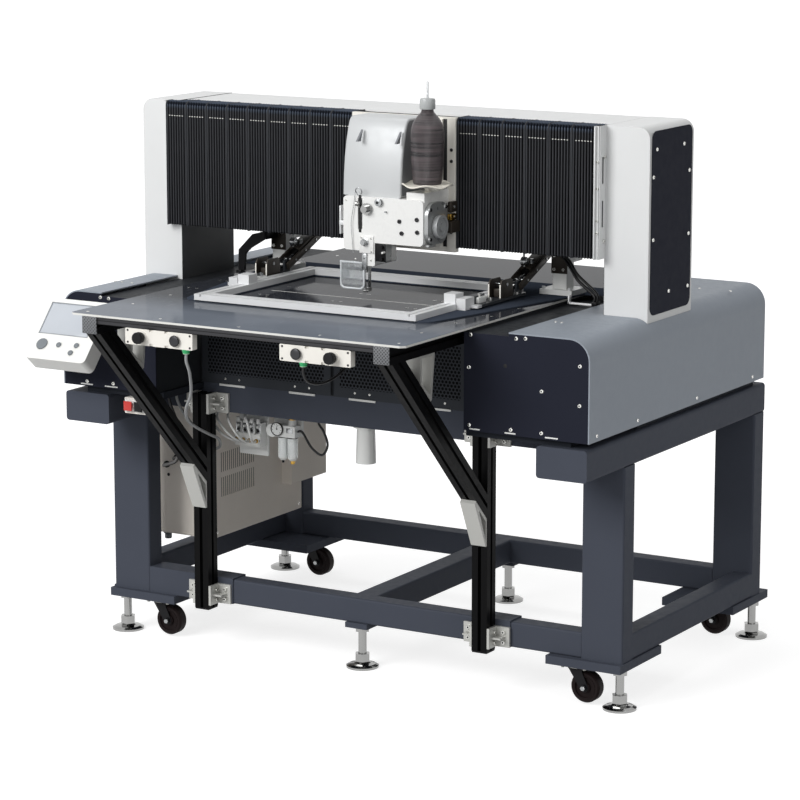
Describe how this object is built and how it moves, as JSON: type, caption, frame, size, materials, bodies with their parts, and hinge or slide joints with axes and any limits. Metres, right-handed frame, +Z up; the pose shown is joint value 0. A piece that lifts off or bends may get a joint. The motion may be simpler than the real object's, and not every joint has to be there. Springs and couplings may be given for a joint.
{
  "type": "programmable pattern sewing machine",
  "caption": "Floor-standing pattern sewing machine: steel stand with covers, flat work table with a sliding clamp frame, and a sewing head that travels along a bridge.",
  "frame": {"origin": "floor point under the middle front levelling foot, on the needle line and the middle of the stand", "axes": "+X to the right as seen from the front, +Y to the back, +Z up"},
  "size_m": [1.446, 1.2845, 1.399],
  "materials": {
    "stand_paint": "satin",
    "foot_chrome": "polished",
    "bed_paint": "satin",
    "rail_steel": "ground",
    "tube_white": "satin",
    "profile_black": "anodised",
    "zinc": "satin",
    "grid_dark": "satin",
    "table_steel": "polished",
    "cover_silver": "satin",
    "navy": "satin",
    "bellows_black": "coated",
    "box_white": "satin",
    "box_cream": "textured",
    "air_white": "satin",
    "fork_black": "satin",
    "wheel_rubber": "matte",
    "head_aluminium": "machined",
    "head_grey": "satin",
    "arm_white": "gloss",
    "motor_black": "satin",
    "guard_clear": "clear",
    "spool_white": "gloss",
    "thread_black": "wound",
    "bright_steel": "polished",
    "feed_grey": "anodised",
    "clamp_aluminium": "machined",
    "post_white": "satin",
    "cylinder_dark": "anodised",
    "panel_cream": "textured",
    "key_grey": "satin",
    "button_black": "satin",
    "cable_black": "satin",
    "button_red": "satin"
  },
  "bodies": {
    "frame": {"side_frames": "stand_paint", "lower_beams": "stand_paint", "levelling_feet": "foot_chrome", "machine_bed": "bed_paint", "guide_rails": "rail_steel", "hook_pan": "stand_paint", "waste_tube": "tube_white", "table_profiles": "profile_black", "brackets": "zinc", "perforated_panels": "grid_dark", "table_top": "table_steel", "side_covers": "cover_silver", "navy_panels": "navy", "inner_covers": "grid_dark", "gantry_covers": "cover_silver", "bellows_left": "bellows_black", "bellows_right": "bellows_black", "switch_boxes": "box_white", "control_box": "box_cream", "air_unit": "air_white", "cables": "cable_black"},
    "fork_fl": {"caster_fork_fl": "fork_black"},
    "wheel_fl": {"caster_wheel_fl": "wheel_rubber"},
    "fork_fr": {"caster_fork_fr": "fork_black"},
    "wheel_fr": {"caster_wheel_fr": "wheel_rubber"},
    "fork_rl": {"caster_fork_rl": "fork_black"},
    "wheel_rl": {"caster_wheel_rl": "wheel_rubber"},
    "fork_rr": {"caster_fork_rr": "fork_black"},
    "wheel_rr": {"caster_wheel_rr": "wheel_rubber"},
    "head": {"head_carriage": "head_aluminium", "head_cover": "head_grey", "sewing_arm": "arm_white", "head_motor": "motor_black", "eye_guard": "guard_clear", "spool_stand": "spool_white", "thread_spool": "thread_black"},
    "tension_knob": {"tension_knob": "bright_steel"},
    "handwheel": {"handwheel": "bright_steel"},
    "needle_bar": {"needle_bar": "bright_steel"},
    "take_up_lever": {"take_up_lever": "bright_steel"},
    "presser_foot": {"presser_foot": "bright_steel"},
    "hook_carriage": {"hook_carriage": "head_aluminium"},
    "rotary_hook": {"rotary_hook": "bright_steel"},
    "feed": {"feed_plate": "feed_grey", "lift_posts": "post_white"},
    "clamp": {"clamp_frame": "clamp_aluminium", "clamp_fittings": "clamp_aluminium"},
    "lift_cylinders": {"lift_cylinders": "cylinder_dark"},
    "lift_rods": {"lift_rods": "bright_steel"},
    "panel": {"operation_panel": "panel_cream"},
    "panel_start_button": {"panel_start_button": "key_grey"},
    "panel_key_left": {"panel_key_left": "key_grey"},
    "panel_key_right": {"panel_key_right": "key_grey"},
    "panel_key_lower": {"panel_key_lower": "key_grey"},
    "left_stop_button": {"left_stop_button": "button_black"},
    "left_start_button": {"left_start_button": "button_black"},
    "right_start_button": {"right_start_button": "button_black"},
    "right_stop_button": {"right_stop_button": "button_black"},
    "power_on_button": {"power_on_button": "button_black"},
    "power_off_button": {"power_off_button": "button_red"}
  },
  "joints": [
    {"name": "caster_swivel_fl", "type": "hinge", "parent": "frame", "child": "fork_fl", "pos_m": [-0.575, 0, 0.08], "axis": [0, 0, 1], "continuous": true},
    {"name": "caster_spin_fl", "type": "hinge", "parent": "fork_fl", "child": "wheel_fl", "pos_m": [-0.55, 0, 0.0415], "axis": [0, 1, 0], "continuous": true},
    {"name": "caster_swivel_fr", "type": "hinge", "parent": "frame", "child": "fork_fr", "pos_m": [0.575, 0, 0.08], "axis": [0, 0, 1], "continuous": true},
    {"name": "caster_spin_fr", "type": "hinge", "parent": "fork_fr", "child": "wheel_fr", "pos_m": [0.6, 0, 0.0415], "axis": [0, 1, 0], "continuous": true},
    {"name": "caster_swivel_rl", "type": "hinge", "parent": "frame", "child": "fork_rl", "pos_m": [-0.575, 0.688, 0.08], "axis": [0, 0, 1], "continuous": true},
    {"name": "caster_spin_rl", "type": "hinge", "parent": "fork_rl", "child": "wheel_rl", "pos_m": [-0.55, 0.688, 0.0415], "axis": [0, 1, 0], "continuous": true},
    {"name": "caster_swivel_rr", "type": "hinge", "parent": "frame", "child": "fork_rr", "pos_m": [0.575, 0.688, 0.08], "axis": [0, 0, 1], "continuous": true},
    {"name": "caster_spin_rr", "type": "hinge", "parent": "fork_rr", "child": "wheel_rr", "pos_m": [0.6, 0.688, 0.0415], "axis": [0, 1, 0], "continuous": true},
    {"name": "head_travel", "type": "slide", "parent": "frame", "child": "head", "axis": [1, 0, 0], "range_m": [-0.25, 0.195], "deforming": ["bellows_left", "bellows_right"]},
    {"name": "thread_tension", "type": "hinge", "parent": "head", "child": "tension_knob", "pos_m": [0.045, -0.047, 1.104], "axis": [0, 1, 0], "range_deg": [-180, 180]},
    {"name": "handwheel_turn", "type": "hinge", "parent": "head", "child": "handwheel", "pos_m": [0.21, 0, 1.068], "axis": [1, 0, 0], "range_deg": [0, 180]},
    {"name": "needle_stroke", "type": "slide", "parent": "head", "child": "needle_bar", "axis": [0, 0, 1], "range_m": [-0.0405, 0]},
    {"name": "take_up_swing", "type": "hinge", "parent": "head", "child": "take_up_lever", "pos_m": [0.025, -0.008, 1.082], "axis": [1, 0, 0], "range_deg": [0, 25]},
    {"name": "presser_lift", "type": "slide", "parent": "head", "child": "presser_foot", "axis": [0, 0, 1], "range_m": [-0.0145, 0]},
    {"name": "hook_travel", "type": "slide", "parent": "frame", "child": "hook_carriage", "axis": [1, 0, 0], "range_m": [-0.25, 0.195]},
    {"name": "hook_turn", "type": "hinge", "parent": "hook_carriage", "child": "rotary_hook", "pos_m": [0.06, 0, 0.852], "axis": [1, 0, 0], "range_deg": [0, 360]},
    {"name": "feed_travel", "type": "slide", "parent": "frame", "child": "feed", "axis": [0, 1, 0], "range_m": [-0.2, 0.13]},
    {"name": "clamp_lift", "type": "slide", "parent": "feed", "child": "clamp", "axis": [0, 0, 1], "range_m": [0, 0.03]},
    {"name": "cylinder_tilt", "type": "hinge", "parent": "feed", "child": "lift_cylinders", "pos_m": [-0.019, 0.345, 0.979], "axis": [1, 0, 0], "range_deg": [-10.5, 0]},
    {"name": "rod_stroke", "type": "slide", "parent": "lift_cylinders", "child": "lift_rods", "axis": [0, 0.9243, 0.3816], "range_m": [0, 0.0096]},
    {"name": "panel_tilt", "type": "hinge", "parent": "frame", "child": "panel", "pos_m": [-0.64, -0.24, 0.762], "axis": [1, 0, 0], "range_deg": [0, 25]},
    {"name": "panel_start_button_press", "type": "slide", "parent": "panel", "child": "panel_start_button", "axis": [0, 0.7547, -0.6561], "range_m": [0, 0.002], "stiffness_N_per_m": 600},
    {"name": "panel_key_left_press", "type": "slide", "parent": "panel", "child": "panel_key_left", "axis": [0, 0.7547, -0.6561], "range_m": [0, 0.002], "stiffness_N_per_m": 600},
    {"name": "panel_key_right_press", "type": "slide", "parent": "panel", "child": "panel_key_right", "axis": [0, 0.7547, -0.6561], "range_m": [0, 0.002], "stiffness_N_per_m": 600},
    {"name": "panel_key_lower_press", "type": "slide", "parent": "panel", "child": "panel_key_lower", "axis": [0, 0.7547, -0.6561], "range_m": [0, 0.002], "stiffness_N_per_m": 600},
    {"name": "left_stop_button_press", "type": "slide", "parent": "frame", "child": "left_stop_button", "axis": [0, 1, 0], "range_m": [0, 0.004], "stiffness_N_per_m": 800},
    {"name": "left_start_button_press", "type": "slide", "parent": "frame", "child": "left_start_button", "axis": [0, 1, 0], "range_m": [0, 0.003], "stiffness_N_per_m": 800},
    {"name": "right_start_button_press", "type": "slide", "parent": "frame", "child": "right_start_button", "axis": [0, 1, 0], "range_m": [0, 0.003], "stiffness_N_per_m": 800},
    {"name": "right_stop_button_press", "type": "slide", "parent": "frame", "child": "right_stop_button", "axis": [0, 1, 0], "range_m": [0, 0.004], "stiffness_N_per_m": 800},
    {"name": "power_on_button_press", "type": "slide", "parent": "frame", "child": "power_on_button", "axis": [0, 1, 0], "range_m": [0, 0.003], "stiffness_N_per_m": 800},
    {"name": "power_off_button_press", "type": "slide", "parent": "frame", "child": "power_off_button", "axis": [0, 1, 0], "range_m": [0, 0.003], "stiffness_N_per_m": 800}
  ],
  "couplings": [
    {"joint": "hook_travel", "follows": "head_travel", "ratio": 1},
    {"joint": "needle_stroke", "follows": "handwheel_turn", "m_per_rad": -0.012732},
    {"joint": "take_up_swing", "follows": "handwheel_turn", "ratio": 0.11111},
    {"joint": "hook_turn", "follows": "handwheel_turn", "ratio": 2},
    {"joint": "cylinder_tilt", "follows": "clamp_lift", "rad_per_m": -5.853},
    {"joint": "rod_stroke", "follows": "clamp_lift", "ratio": 0.3142}
  ]
}
